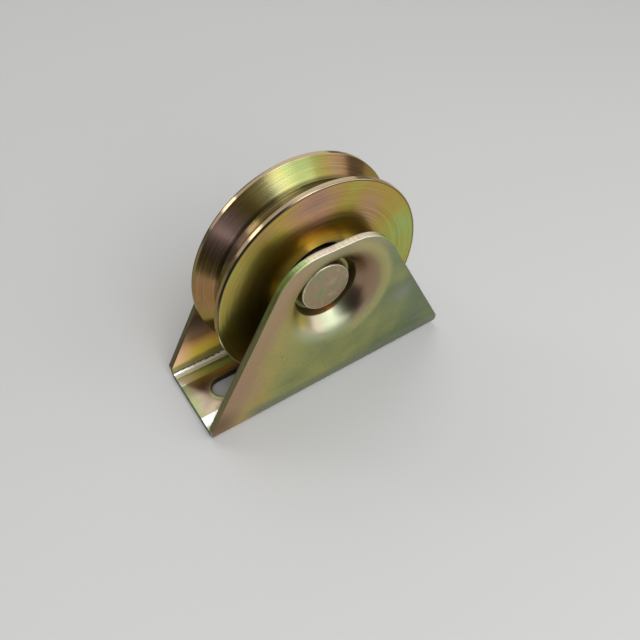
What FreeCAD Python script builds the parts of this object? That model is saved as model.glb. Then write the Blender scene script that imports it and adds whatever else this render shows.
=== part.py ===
import FreeCAD, Part
import math
import os

# Sliding gate wheel: a grooved steel wheel on a sealed ball bearing, carried by a riveted axle
# between the dished cheeks of a folded steel bracket.
# Millimetres. X runs along the bracket, Y along the axle, Z up from the underside of the base.
# Lathe profiles are drawn as (radius from the axle, distance along the axle from the wheel's middle).

# Bracket
sheet = 2.5
bracket_length = 103.0
bracket_width = 36.0
bend_inside_radius = 1.5
end_rise = 1.6
cheek_top_width = 34.4
cheek_corner_radius = 17.5
cheek_margin = 1.0
coined_strip_width = 5.8
coined_strip_depth = 0.35
slot_width = 9.0
slot_length = 16.0
slot_inset = 17.0

# Dishes pressed into the cheeks, each with a pocket for a head of the axle
dish_diameter = 43.6
dish_rim_inside_radius = 6.5
pocket_gap = 1.4
pocket_draft = 0.95
pocket_corner_radius = 1.0

# Axle: a headed pin, upset at its rear end
axle_diameter = 15.0
head_overhang = 2.0
head_taper = 0.6
head_height = 3.5
head_chamfer = 0.4
upset_chamfer = 1.1

# Wheel
wheel_diameter = 80.0
wheel_width = 18.0
rim_land = 1.8
rim_chamfer = 0.3
groove_angle = 90.0
groove_bottom_width = 2.8
bearing_shoulder = 1.5

# Retaining ring, sprung into a groove of the wheel's bore
ring_thickness = 1.5
ring_radial_width = 2.0
ring_seat_depth = 0.9
ring_opening = 4.0

# Ball bearing
bearing_diameter = 35.0
bearing_width = 11.0
raceway_depth = 1.25
ball_diameter = 5.953
ball_count = 8
ball_bands = 6
ball_sides = 12
seal_thickness = 0.8
seal_recess = 0.35
cage_lip = 1.9

# Clearances
wheel_to_base = 2.5
seat_clearance = 0.02
hole_clearance = 0.05
ball_clearance = 0.04
seal_clearance = 0.15
pocket_clearance = 0.05
cage_side_gap = 0.7
cage_end_gap = 0.4

# Places that several pieces share
axle_height = sheet + wheel_to_base + wheel_diameter / 2
axle_radius = axle_diameter / 2
bearing_half = bearing_width / 2
pocket_floor = bearing_half + sheet
head_face = pocket_floor + head_height
head_radius = axle_radius + head_overhang
head_foot_radius = head_radius + head_taper
wheel_bore = bearing_diameter / 2 + seat_clearance
pitch_radius = (axle_radius + bearing_diameter / 2) / 2
ball_radius = ball_diameter / 2
inner_shoulder = pitch_radius - ball_radius + raceway_depth
outer_shoulder = pitch_radius + ball_radius - raceway_depth
seal_face = bearing_half - seal_recess

AXLE = FreeCAD.Vector(0, 0, axle_height)
X = FreeCAD.Vector(1, 0, 0)
Y = FreeCAD.Vector(0, 1, 0)
Z = FreeCAD.Vector(0, 0, 1)


def on_axle(radius, along):
    """Point of a lathe profile."""
    return FreeCAD.Vector(radius, along, axle_height)


def across(y, z):
    """Point of the folded section, at the bracket's -X end."""
    return FreeCAD.Vector(-bracket_length / 2, y, z)


def in_side_view(x, z):
    """Point of the cheeks' outline, on the outer face of the -Y cheek."""
    return FreeCAD.Vector(x, -bracket_width / 2, z)


def drawn(place, profile):
    """Face of a closed profile: a pair is a straight step, two pairs an arc through one to the other."""
    edges = []
    here = profile[0]
    for step in profile[1:] + profile[:1]:
        if isinstance(step[0], tuple):
            through, end = step
            edges.append(Part.Arc(place(*here), place(*through), place(*end)).toShape())
        else:
            end = step
            edges.append(Part.LineSegment(place(*here), place(*end)).toShape())
        here = end
    return Part.Face(Part.Wire(edges))


def turned(profile):
    return drawn(on_axle, profile).revolve(AXLE, Y, 360)


def tube(inner, outer, low, high):
    return turned([(inner, low), (outer, low), (outer, high), (inner, high)])


def towards(start, end, length):
    """Point on the way from start to end, at that distance from start."""
    share = length / math.dist(start, end)
    return (start[0] + (end[0] - start[0]) * share, start[1] + (end[1] - start[1]) * share)


def rounded(before, corner, after, radius):
    """Round a corner of a profile: the arc's start, then its middle and end."""
    turn_in = math.atan2(before[1] - corner[1], before[0] - corner[0])
    turn_out = math.atan2(after[1] - corner[1], after[0] - corner[0])
    half_angle = abs(math.remainder(turn_out - turn_in, 2 * math.pi)) / 2
    tangent = radius / math.tan(half_angle)
    start = towards(corner, before, tangent)
    end = towards(corner, after, tangent)
    chord_middle = ((start[0] + end[0]) / 2, (start[1] + end[1]) / 2)
    middle = towards(corner, chord_middle, radius / math.sin(half_angle) - radius)
    return [start, (middle, end)]


def banded(before, corner, after, radius):
    """Turn a hidden corner of a profile in two straight bands instead of an arc."""
    start, (middle, end) = rounded(before, corner, after, radius)
    return [start, middle, end]


def mirrored(shape):
    return shape.mirror(FreeCAD.Vector(0, 0, 0), Y)


def dish():
    """Dish of the +Y cheek: a rim rolled over into a cone, and a pocket that bears on the bearing."""
    rim = dish_diameter / 2
    face = bracket_width / 2
    rim_outside_radius = dish_rim_inside_radius + sheet
    centre = (rim, face - rim_outside_radius)
    floor_corner = (head_foot_radius + pocket_gap, pocket_floor)
    mouth = (floor_corner[0] + pocket_draft, head_face)

    # The cone runs from the pocket's mouth and meets the rolled rim at a tangent
    reach = (centre[0] - mouth[0], centre[1] - mouth[1])
    slope = math.asin(rim_outside_radius / math.hypot(*reach)) + math.atan2(reach[1], reach[0])
    outward = (-math.sin(slope), math.cos(slope))

    def on_rim(radius, turn):
        return (centre[0] - radius * math.sin(turn), centre[1] + radius * math.cos(turn))

    # The wheel side lies one sheet thickness behind the cone and behind the pocket's wall
    lean = math.atan2(pocket_draft, head_height)
    behind = (math.cos(lean) * sheet, -math.sin(lean) * sheet)
    wall_top = (mouth[0] + behind[0], mouth[1] + behind[1])
    cone_end = on_rim(dish_rim_inside_radius, slope)
    drop = ((wall_top[0] - cone_end[0]) * outward[0] + (wall_top[1] - cone_end[1]) * outward[1])
    drop /= math.sin(lean) * outward[0] + math.cos(lean) * outward[1]
    valley = (wall_top[0] - drop * math.sin(lean), wall_top[1] - drop * math.cos(lean))
    nose = bearing_half
    nose_corner = (wall_top[0] - (wall_top[1] - nose) * math.tan(lean), nose)
    hole = axle_radius + hole_clearance
    rolled = (on_rim(rim_outside_radius, slope / 2), on_rim(rim_outside_radius, slope))
    profile = [(rim, face), rolled, mouth]
    profile += banded(mouth, floor_corner, (hole, pocket_floor), pocket_corner_radius)
    profile += [(hole, pocket_floor), (hole, nose)]
    profile += banded((hole, nose), nose_corner, valley, pocket_corner_radius + sheet)
    profile += [valley, cone_end, on_rim(dish_rim_inside_radius, slope / 2), (rim, face - sheet)]
    return turned(profile)


def channel():
    """The folded section: base, two bends and two upright cheeks, with coined strips beside the bends."""
    side = bracket_width / 2
    top = axle_height + dish_diameter / 2 + cheek_margin
    inside = side - sheet
    strip = sheet - coined_strip_depth
    crease = inside - bend_inside_radius - coined_strip_width
    profile = [(side, top), (inside, top)]
    profile += rounded((inside, top), (inside, strip), (0, strip), bend_inside_radius)
    profile += [(crease, sheet), (-crease, sheet)]
    profile += rounded((0, strip), (-inside, strip), (-inside, top), bend_inside_radius)
    profile += [(-inside, top), (-side, top)]
    profile += rounded((-side, top), (-side, 0), (0, 0), bend_inside_radius + sheet)
    profile += rounded((0, 0), (side, 0), (side, top), bend_inside_radius + sheet)
    return drawn(across, profile).extrude(X * bracket_length)


def side_outline():
    """Outline of the cheeks along the axle: short upright ends, sloping sides, rounded flat top."""
    end = bracket_length / 2
    low = bend_inside_radius + sheet + end_rise
    shoulder = cheek_top_width / 2
    top = axle_height + dish_diameter / 2 + cheek_margin
    profile = [(-end, 0), (-end, low)]
    profile += rounded((-end, low), (-shoulder, top), (0, top), cheek_corner_radius)
    profile += rounded((0, top), (shoulder, top), (end, low), cheek_corner_radius)
    profile += [(end, low), (end, 0)]
    return drawn(in_side_view, profile).extrude(Y * bracket_width)


def slot(centre):
    """Slot through the base for a fixing bolt, along X."""
    reach = (slot_length - slot_width) / 2
    through = sheet * 3
    under = FreeCAD.Vector(centre, 0, -sheet)
    middle = Part.makeBox(2 * reach, slot_width, through, under - X * reach - Y * slot_width / 2)
    ends = [Part.makeCylinder(slot_width / 2, through, under + X * step, Z) for step in (-reach, reach)]
    return middle.fuse(ends)


def bracket():
    body = channel().common(side_outline())
    cheek_hole = Part.makeCylinder(dish_diameter / 2, bracket_width, AXLE - Y * bracket_width / 2, Y)
    slot_place = bracket_length / 2 - slot_inset
    body = body.cut([cheek_hole, slot(-slot_place), slot(slot_place)])
    rear_dish = dish()
    return body.fuse([rear_dish, mirrored(rear_dish)]).removeSplitter()


def axle_rivet():
    profile = [(0, -head_face), (head_radius - head_chamfer, -head_face)]
    profile += [(head_radius, -head_face + head_chamfer), (head_foot_radius, -pocket_floor)]
    profile += [(axle_radius, -pocket_floor), (axle_radius, pocket_floor)]
    profile += [(head_foot_radius, pocket_floor), (head_radius, head_face - upset_chamfer)]
    profile += [(head_radius - upset_chamfer, head_face), (0, head_face)]
    return turned(profile)


def wheel():
    rim = wheel_diameter / 2
    face = wheel_width / 2
    mouth = face - rim_land
    bottom = groove_bottom_width / 2
    root = rim - (mouth - bottom) / math.tan(math.radians(groove_angle / 2))
    ring_inner_face = bearing_half
    ring_outer_face = bearing_half + ring_thickness + 2 * seat_clearance
    ring_seat = wheel_bore + ring_seat_depth
    shoulder = wheel_bore - bearing_shoulder
    profile = [(shoulder, face), (rim - rim_chamfer, face), (rim, face - rim_chamfer), (rim, mouth)]
    profile += [(root, bottom), (root, -bottom), (rim, -mouth)]
    profile += [(rim, -face + rim_chamfer), (rim - rim_chamfer, -face), (wheel_bore, -face)]
    profile += [(wheel_bore, -ring_outer_face), (ring_seat, -ring_outer_face)]
    profile += [(ring_seat, -ring_inner_face), (wheel_bore, -ring_inner_face)]
    profile += [(wheel_bore, bearing_half), (shoulder, bearing_half)]
    return turned(profile)


def retaining_ring():
    outer = wheel_bore + ring_seat_depth - seat_clearance
    near = bearing_half + seat_clearance
    ring = tube(outer - ring_radial_width, outer, -near - ring_thickness, -near)
    corner = AXLE - X * ring_opening / 2 - Y * (near + ring_thickness) - Z * outer
    return ring.cut(Part.makeBox(ring_opening, ring_thickness, outer, corner))


def raceway(shoulder, side):
    """Groove that the balls run in, between a ring's shoulders; side is -1 on the inner ring."""
    reach = ball_radius + ball_clearance
    slope = math.pi / 4
    floor = pitch_radius + side * reach
    corner = reach * math.tan(slope / 2)
    lip = corner + abs(floor - shoulder) / math.tan(slope)
    return [(shoulder, -lip), (floor, -corner), (floor, corner), (shoulder, lip)]


def inner_ring():
    bore = axle_radius + seat_clearance
    profile = [(bore, bearing_half), (bore, -bearing_half), (inner_shoulder, -bearing_half)]
    return turned(profile + raceway(inner_shoulder, -1) + [(inner_shoulder, bearing_half)])


def outer_ring():
    outside = bearing_diameter / 2
    profile = [(outside, bearing_half), (outside, -bearing_half), (outer_shoulder, -bearing_half)]
    return turned(profile + raceway(outer_shoulder, 1) + [(outer_shoulder, bearing_half)])


def seal():
    """Seal on the +Y side of the bearing: it turns with the outer ring and clears the inner one."""
    rubbing_edge = inner_shoulder + seal_clearance
    return tube(rubbing_edge, outer_shoulder - seat_clearance, seal_face - seal_thickness, seal_face)


def ball_place(number):
    angle = 2 * math.pi * (number + 0.5) / ball_count
    return FreeCAD.Vector(pitch_radius * math.cos(angle), 0, axle_height + pitch_radius * math.sin(angle))


def ball(number):
    """Ball in flat facets, with a corner towards each raceway and each side of its pocket."""
    centre = ball_place(number)
    outwards = (centre - AXLE).normalize()
    sideways = outwards.cross(Y)

    def corner(band, side):
        lean = math.pi * band / ball_bands
        turn = 2 * math.pi * side / ball_sides
        level = outwards * math.cos(turn) + sideways * math.sin(turn)
        return centre + (level * math.sin(lean) - Y * math.cos(lean)) * ball_radius

    facets = []
    for side in range(ball_sides):
        for band in range(ball_bands):
            edge = [corner(band, side), corner(band + 1, side)]
            if band < ball_bands - 1:
                edge.append(corner(band + 1, side + 1))
            if band > 0:
                edge.append(corner(band, side + 1))
            facets.append(Part.Face(Part.makePolygon(edge + edge[:1])))
    return Part.Solid(Part.Shell(facets))


def cage():
    """Snap-in crown: a ring behind the balls, with a round pocket for each that closes past its middle."""
    back = seal_face - seal_thickness - cage_end_gap
    ring = tube(inner_shoulder + cage_side_gap, outer_shoulder - cage_side_gap, -back, cage_lip)
    pockets = []
    for number in range(ball_count):
        centre = ball_place(number)
        outwards = (centre - AXLE).normalize()
        pockets.append(Part.makeCylinder(ball_radius + pocket_clearance, pitch_radius * 2, AXLE, outwards))
    return ring.cut(pockets)


pieces = {
    "bracket": bracket(),
    "axle_rivet": axle_rivet(),
    "wheel": wheel(),
    "retaining_ring": retaining_ring(),
    "bearing_inner_ring": inner_ring(),
    "bearing_outer_ring": outer_ring(),
    "bearing_seal_front": mirrored(seal()),
    "bearing_seal_rear": seal(),
    "ball_cage": cage(),
}
for number in range(ball_count):
    pieces[f"bearing_ball_{number + 1}"] = ball(number)

os.makedirs("parts", exist_ok=True)
for name, shape in pieces.items():
    shape.exportStep(f"parts/{name}.step")
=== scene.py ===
import math
import bmesh
import bpy
from mathutils import Matrix, Vector
from mathutils.geometry import delaunay_2d_cdt


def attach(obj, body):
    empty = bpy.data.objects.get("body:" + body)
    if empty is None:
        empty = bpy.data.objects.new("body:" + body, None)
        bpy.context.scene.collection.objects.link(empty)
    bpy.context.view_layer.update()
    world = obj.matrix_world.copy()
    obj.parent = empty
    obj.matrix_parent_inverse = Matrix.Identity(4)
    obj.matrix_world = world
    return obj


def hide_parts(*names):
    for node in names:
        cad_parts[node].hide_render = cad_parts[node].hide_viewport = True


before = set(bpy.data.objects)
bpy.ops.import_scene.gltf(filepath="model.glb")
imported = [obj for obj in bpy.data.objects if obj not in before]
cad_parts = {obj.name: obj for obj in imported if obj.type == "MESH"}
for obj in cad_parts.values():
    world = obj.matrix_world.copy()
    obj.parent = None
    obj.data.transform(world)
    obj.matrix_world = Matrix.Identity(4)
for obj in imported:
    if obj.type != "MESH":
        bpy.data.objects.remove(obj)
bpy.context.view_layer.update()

# Sizes in millimetres, the same as the solids'
# Round sizes are radii, and pairs are (radius, along the axle)
SHEET = 2.5
HALF_LENGTH = 51.5
HALF_WIDTH = 18.0
BEND_INSIDE = 1.5
BEND_OUTSIDE = BEND_INSIDE + SHEET
END_HEIGHT = 5.6
CHEEK_TOP = 67.8
CHEEK_TOP_HALF = 17.2
CHEEK_CORNER = 17.5
SLOPE = (HALF_LENGTH - CHEEK_TOP_HALF) / (CHEEK_TOP - END_HEIGHT)
STRIP_WIDTH = 5.8
STRIP_DEPTH = 0.35
SLOT_CENTRE = 34.5
SLOT_HALF_LENGTH = 8.0
SLOT_HALF_WIDTH = 4.5
DISH_RIM = 21.8
DISH_RIM_OUTSIDE = 9.0
DISH_RIM_INSIDE = 6.5
POCKET_MOUTH = (12.45, 11.5)
POCKET_FLOOR = (11.5, 8.0)
POCKET_CORNER = 1.0
AXLE_HEIGHT = 45.0
AXLE_HOLE = 7.55
AXLE = 7.5
HEAD_FACE = 11.5
HEAD = 9.5
HEAD_FOOT = 10.1
BEARING_HALF = 5.5
WHEEL = 40.0
WHEEL_HALF = 9.0
GROOVE_MOUTH = 7.2
GROOVE_BOTTOM = 1.4
GROOVE_ROOT = 34.2
WHEEL_BORE = 17.52
WHEEL_SHOULDER = 16.02
RING_SEAT = 18.42
RING_OUTER_FACE = 7.04
PITCH = 12.5
BALL = 2.9765
INNER_SHOULDER = 10.7735
OUTER_SHOULDER = 14.2265
BEARING = 17.5
BEARING_BORE = 7.52
BALL_COUNT = 8
BALL_CLEARANCE = 0.04
SEAL_CLEARANCE = 0.15
SEAL_RECESS = 0.35
SEAL_THICKNESS = 0.8
SEAT_CLEARANCE = 0.02

# Places on the bracket that follow from its sizes
BEND_Y = HALF_WIDTH - BEND_OUTSIDE
STRIP_Z = SHEET - STRIP_DEPTH
INNER_BEND_Z = STRIP_Z + BEND_INSIDE
CREASE = BEND_Y - STRIP_WIDTH
SLOT_STRAIGHT_HALF = SLOT_HALF_LENGTH - SLOT_HALF_WIDTH

# Roundings and chamfers of corners, in millimetres
EDGE_ROUND = 0.22
CHEEK_END_ROUND = 0.8
MOUTH_ROUND = 0.3
VALLEY_ROUND = 0.8
HOLE_ROUND = 0.1
TURNED_ROUND = 0.3
GROOVE_LIP_ROUND = 0.15
BORE_ROUND = 0.05
HEAD_CHAMFER_ACROSS = 0.2
HEAD_CHAMFER_ALONG = 0.25
HEAD_FACE_ROUND = 0.15
HEAD_SIDE_ROUND = 0.2
HEAD_FOOT_ROUND = 0.15
UPSET_CHAMFER = 1.1
UPSET_ROUND = 0.5
RING_ROUND = 0.4
SEAL_ROUND = 0.08

# Lip and bead of the seals, in millimetres
LIP_BEVEL = 0.25
LIP_BACK_BEVEL = 0.15
LIP_START = 0.5
LIP_END = 1.0
BEAD_WIDTH = 0.7
SEAL_STEP = 0.2

# Metres in a millimetre
METRES = 0.001

# Fineness, welding and smoothing of the meshes
ARC_STEP = math.radians(11)
LEAST_ARC_STEPS = 3
EDGE_STEPS = 4
BEND_STEPS = 10
RACE_STEPS = 16
BALL_SUBDIVISIONS = 3
TURNS = 288
TURN_ANGLES = [2 * math.pi * turn / TURNS for turn in range(TURNS)]
COLUMNS = 24
COLUMN_PLACES = [(2 * i / COLUMNS - 1) * (HALF_LENGTH - EDGE_ROUND) for i in range(COLUMNS + 1)]
FLAT_MARGIN = 0.5
SAME_POINT = 1e-6
WELD_METRES = 3e-6
SHARP_ANGLE = math.radians(40)
NORMAL_WEIGHT = 100

# Tint of the zinc film at glancing angles
ZINC_EDGE = (0.8, 0.68, 0.5, 1)

# How far each axis of a noise moves with its seed
SEED_SHIFT = (1, 1.7, 2.3)

# Floor, and the matt surface that it shares with the cards
FLOOR_RADIUS = 1.5
FLOOR_DROP = 0.0001
FLOOR_GREY = (0.62, 0.62, 0.61)
DISC_SEGMENTS = 128
DISC_ROUGHNESS = 0.85

# Studio light: a grey room with soft lamps and dark cards, which face the axle
# Each lamp is (name, azimuth, elevation, degrees wide, degrees high, metres away, light)
ROOM_GREY = (0.22, 0.22, 0.22)
FILL = ("fill", -15, 40, 52, 52, 0.92, (2.35, 2.35, 2.35))
SOFTBOXES = [
    ("window", 34, 26, 82, 44, 1.2, (0.88, 0.88, 0.90)),
    ("front", 24, 40, 40, 32, 1.2, (0.85, 0.88, 0.98)),
    ("top", 20, 64, 26, 26, 1.2, (2.5, 2.5, 2.5)),
    ("key", 162, 66, 28, 28, 1.2, (2.3, 2.3, 2.3)),
    ("back", 178, 28, 100, 50, 1.2, (0.55, 0.54, 0.53)),
    ("left", -145, 31, 14, 14, 1.2, (3.0, 2.8, 2.65)),
]

# Each card is (name, azimuth, elevation, degrees wide, metres away, colour)
CARDS = [
    ("far_card", -31, 27, 32, 0.5, (0.12, 0.12, 0.12)),
    ("low_card", -57, 0, 37, 0.15, (0.04, 0.04, 0.04)),
]

# Camera at the photo's place, in metres and radians
CAMERA_AZIMUTH = -0.6075145
CAMERA_ELEVATION = 0.8540633
CAMERA_DISTANCE = 0.2163056
CAMERA_ROLL = 0.0249496
CAMERA_TARGET = (-0.0046848, -0.0151142, 0.0344686)
FOCAL_PIXELS = 624.0639
IMAGE_PIXELS = 640
SENSOR_WIDTH = 36
NEAR_CLIP = 0.01


def rounded_path(corners, closed=False):
    """Points along (x, y, radius) corners, each rounded by an arc of its radius."""
    path = []
    for index, (x, y, radius) in enumerate(corners):
        here = Vector((x, y))
        at_end = not closed and index in (0, len(corners) - 1)
        if at_end or radius == 0:
            path.append(here)
            continue
        before = (Vector(corners[index - 1][:2]) - here).normalized()
        after = (Vector(corners[(index + 1) % len(corners)][:2]) - here).normalized()
        half = before.angle(after) / 2
        centre = here + (before + after).normalized() * (radius / math.sin(half))
        start = here + before * (radius / math.tan(half)) - centre
        end = here + after * (radius / math.tan(half)) - centre
        first = math.atan2(start.y, start.x)
        turn = math.remainder(math.atan2(end.y, end.x) - first, 2 * math.pi)
        steps = max(LEAST_ARC_STEPS, math.ceil(abs(turn) / ARC_STEP))
        for step in range(steps + 1):
            angle = first + turn * step / steps
            path.append(centre + Vector((math.cos(angle), math.sin(angle))) * radius)
    return path


def quarter_turn(steps):
    """Angles of a quarter turn in equal steps."""
    return [math.pi / 2 * step / steps for step in range(steps + 1)]


def grid(rows, close_rows=False, close_columns=False):
    """Points and quads of rows of equal length."""
    width = len(rows[0])
    points = [point for row in rows for point in row]
    faces = []
    for row in range(len(rows) if close_rows else len(rows) - 1):
        for column in range(width if close_columns else width - 1):
            low = row * width
            high = (row + 1) % len(rows) * width
            right = (column + 1) % width
            faces.append((low + column, low + right, high + right, high + column))
    return points, faces


def lathe(profile, closed=False):
    """Turn a profile of (radius, along the axle) points about the axle."""
    rows = []
    for angle in TURN_ANGLES:
        rows.append([(r * math.cos(angle), a, AXLE_HEIGHT + r * math.sin(angle)) for r, a in profile])
    return grid(rows, close_rows=True, close_columns=closed)


def plate(outline, holes, place):
    """Flat patch inside an outline and outside its holes; place lifts its points into space."""
    flat = []
    loops = []
    for loop in [outline] + holes:
        loops.append(range(len(flat), len(flat) + len(loop)))
        flat += [Vector(point) for point in loop]
    edges = [(loop[i - 1], loop[i]) for loop in loops for i in range(len(loop))]
    inside_only = 1
    points, _, faces, origins, _, _ = delaunay_2d_cdt(flat, edges, [], inside_only, SAME_POINT)
    kept = []
    for face in faces:
        if not any(all(origins[i][0] in hole for i in face) for hole in loops[1:]):
            kept.append(face)
    return [place(point) for point in points], kept


def edge_section(outer, inner, outward):
    """Points across a sheared edge with rounded corners, from the outer skin to the inner one."""
    through = (inner - outer).normalized()
    outer_centre = outer + (through - outward) * EDGE_ROUND
    inner_centre = inner - (through + outward) * EDGE_ROUND
    first = []
    second = []
    for turn in quarter_turn(EDGE_STEPS):
        sine = math.sin(turn)
        cosine = math.cos(turn)
        first.append(outer_centre + (outward * sine - through * cosine) * EDGE_ROUND)
        second.append(inner_centre + (outward * cosine + through * sine) * EDGE_ROUND)
    return first + second


def normals_of(path, closed=False):
    """Unit normals to the right of a flat path, at each of its points."""
    normals = []
    for index, here in enumerate(path):
        before = path[index - 1] if closed or index > 0 else here
        after = path[(index + 1) % len(path)] if closed or index < len(path) - 1 else here
        along = Vector((0, 0))
        for step in (here - before, after - here):
            if step.length > SAME_POINT:
                along += step.normalized()
        along.normalize()
        normals.append(Vector((along.y, -along.x)))
    return normals


def meeting(point, direction, other, other_direction):
    """Where two flat lines cross."""
    gap = Vector(other) - Vector(point)
    share = gap.cross(Vector(other_direction)) / Vector(direction).cross(Vector(other_direction))
    return Vector(point) + Vector(direction) * share


def new_object(name, data):
    made = bpy.data.objects.new(name, data)
    bpy.context.scene.collection.objects.link(made)
    return made


def make_piece(name, skins, body, nodes):
    """Mesh of (patches, material) skins in millimetres, welded where they meet; it replaces CAD nodes."""
    build = bmesh.new()
    mesh = bpy.data.meshes.new(name)
    for index, (patches, material) in enumerate(skins):
        mesh.materials.append(material)
        for points, faces in patches:
            verts = [build.verts.new(Vector(point) * METRES) for point in points]
            for face in faces:
                build.faces.new([verts[corner] for corner in face]).material_index = index
    bmesh.ops.remove_doubles(build, verts=build.verts, dist=WELD_METRES)
    bmesh.ops.recalc_face_normals(build, faces=build.faces)
    build.to_mesh(mesh)
    build.free()
    mesh.shade_smooth()
    mesh.set_sharp_from_angle(angle=SHARP_ANGLE)
    piece = new_object(name, mesh)
    weighted = piece.modifiers.new("weighted_normals", "WEIGHTED_NORMAL")
    weighted.keep_sharp = True
    weighted.weight = NORMAL_WEIGHT
    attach(piece, body)
    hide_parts(*nodes)
    return piece


def dish_profiles():
    """Outer and inner skin of a pressed dish, each from the cheek to the middle of the axle's hole."""
    rim_centre = Vector((DISH_RIM, HALF_WIDTH - DISH_RIM_OUTSIDE))
    reach = rim_centre - Vector(POCKET_MOUTH)
    slope = math.asin(DISH_RIM_OUTSIDE / reach.length) + math.atan2(reach.y, reach.x)
    cone = (math.cos(slope), math.sin(slope))
    outer_corner = DISH_RIM - DISH_RIM_OUTSIDE * math.tan(slope / 2)
    inner_corner = DISH_RIM - DISH_RIM_INSIDE * math.tan(slope / 2)
    wall = (Vector(POCKET_MOUTH) - Vector(POCKET_FLOOR)).normalized()
    behind = Vector(POCKET_MOUTH) + Vector((wall.y, -wall.x)) * SHEET
    valley = meeting(behind, wall, (inner_corner, HALF_WIDTH - SHEET), cone)
    nose = meeting(behind, wall, (0, BEARING_HALF), (1, 0))
    hole_middle = (AXLE_HOLE, (POCKET_FLOOR[1] + BEARING_HALF) / 2, 0)
    outer = [
        (DISH_RIM + FLAT_MARGIN, HALF_WIDTH, 0),
        (DISH_RIM, HALF_WIDTH, 0),
        (outer_corner, HALF_WIDTH, DISH_RIM_OUTSIDE),
        (*POCKET_MOUTH, MOUTH_ROUND),
        (*POCKET_FLOOR, POCKET_CORNER),
        (AXLE_HOLE, POCKET_FLOOR[1], HOLE_ROUND),
        hole_middle,
    ]
    inner = [
        (DISH_RIM + FLAT_MARGIN, HALF_WIDTH - SHEET, 0),
        (DISH_RIM, HALF_WIDTH - SHEET, 0),
        (inner_corner, HALF_WIDTH - SHEET, DISH_RIM_INSIDE),
        (valley.x, valley.y, VALLEY_ROUND),
        (nose.x, BEARING_HALF, POCKET_CORNER + SHEET),
        (AXLE_HOLE, BEARING_HALF, HOLE_ROUND),
        hole_middle,
    ]
    return rounded_path(outer), rounded_path(inner)


def add_cheeks(skins):
    """Cheeks: outline edges, outer and inner faces, and dishes."""
    corners = [
        (HALF_LENGTH, BEND_OUTSIDE, 0),
        (HALF_LENGTH, END_HEIGHT, CHEEK_END_ROUND),
        (CHEEK_TOP_HALF, CHEEK_TOP, CHEEK_CORNER),
        (-CHEEK_TOP_HALF, CHEEK_TOP, CHEEK_CORNER),
        (-HALF_LENGTH, END_HEIGHT, CHEEK_END_ROUND),
        (-HALF_LENGTH, BEND_OUTSIDE, 0),
    ]
    outline = rounded_path(corners)
    outwards = normals_of(outline)
    outer_dish, inner_dish = dish_profiles()
    dish = DISH_RIM + FLAT_MARGIN
    circle = [(dish * math.cos(angle), AXLE_HEIGHT + dish * math.sin(angle)) for angle in TURN_ANGLES]
    for side in (-1, 1):
        outer_y = side * HALF_WIDTH
        inner_y = side * (HALF_WIDTH - SHEET)
        sections = []
        for index, (point, normal) in enumerate(zip(outline, outwards)):
            inner_z = INNER_BEND_Z if index in (0, len(outline) - 1) else point.y
            outer = Vector((point.x, outer_y, point.y))
            inner = Vector((point.x, inner_y, inner_z))
            sections.append(edge_section(outer, inner, Vector((normal.x, 0, normal.y))))
        skins["sheared"].append(grid(sections))
        faces = [("outside", outer_dish, outer_y, 0), ("inside", inner_dish, inner_y, -1)]
        for skin, profile, y, row in faces:
            rim = [(section[row].x, section[row].z) for section in sections]
            bottom = [(x, rim[-1][1]) for x in COLUMN_PLACES[1:-1]]
            skins[skin].append(plate(rim + bottom, [circle], lambda p, y=y: (p.x, y, p.y)))
            skins[skin].append(lathe([(r, side * a) for r, a in profile]))


def bend(radius, centre_z):
    """Quarter circle of (y, z) points from a cheek down to the base."""
    turns = quarter_turn(BEND_STEPS)
    return [(BEND_Y + radius * math.cos(turn), centre_z - radius * math.sin(turn)) for turn in turns]


def add_bends(skins):
    """Bends, the strips beside them, and the sheared ends of the bends and the base."""
    outer_bend = bend(BEND_OUTSIDE, BEND_OUTSIDE)
    inner_bend = bend(BEND_INSIDE, INNER_BEND_Z)
    strip = [(BEND_Y, STRIP_Z), (CREASE, SHEET)]
    for side in (-1, 1):
        for skin, path in (("outside", outer_bend), ("inside", inner_bend), ("inside", strip)):
            rows = [[(x, side * y, z) for x in COLUMN_PLACES] for y, z in path]
            skins[skin].append(grid(rows))
    halves = list(zip(outer_bend, inner_bend)) + [((CREASE, 0), (CREASE, SHEET))]
    around = [((-o[0], o[1]), (-i[0], i[1])) for o, i in halves] + halves[::-1]
    for end in (-1, 1):
        sections = []
        for outer, inner in around:
            outer_point = Vector((end * HALF_LENGTH, *outer))
            inner_point = Vector((end * HALF_LENGTH, *inner))
            sections.append(edge_section(outer_point, inner_point, Vector((end, 0, 0))))
        skins["sheared"].append(grid(sections))


def slot_sections(centre):
    """Sections round a slot's edge, and the ways out of the sheet there."""
    ends = (centre - SLOT_HALF_LENGTH, centre + SLOT_HALF_LENGTH)
    corners = [(ends[0], -SLOT_HALF_WIDTH), (ends[1], -SLOT_HALF_WIDTH)]
    corners += [(ends[1], SLOT_HALF_WIDTH), (ends[0], SLOT_HALF_WIDTH)]
    path = rounded_path([(*corner, SLOT_HALF_WIDTH) for corner in corners], closed=True)
    path = [point for i, point in enumerate(path) if (point - path[i - 1]).length > SAME_POINT]
    outwards = [Vector((-normal.x, -normal.y, 0)) for normal in normals_of(path, closed=True)]
    sections = []
    for point, outward in zip(path, outwards):
        under = Vector((point.x, point.y, 0))
        over = Vector((point.x, point.y, SHEET))
        sections.append(edge_section(under, over, outward))
    return sections, outwards


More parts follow.
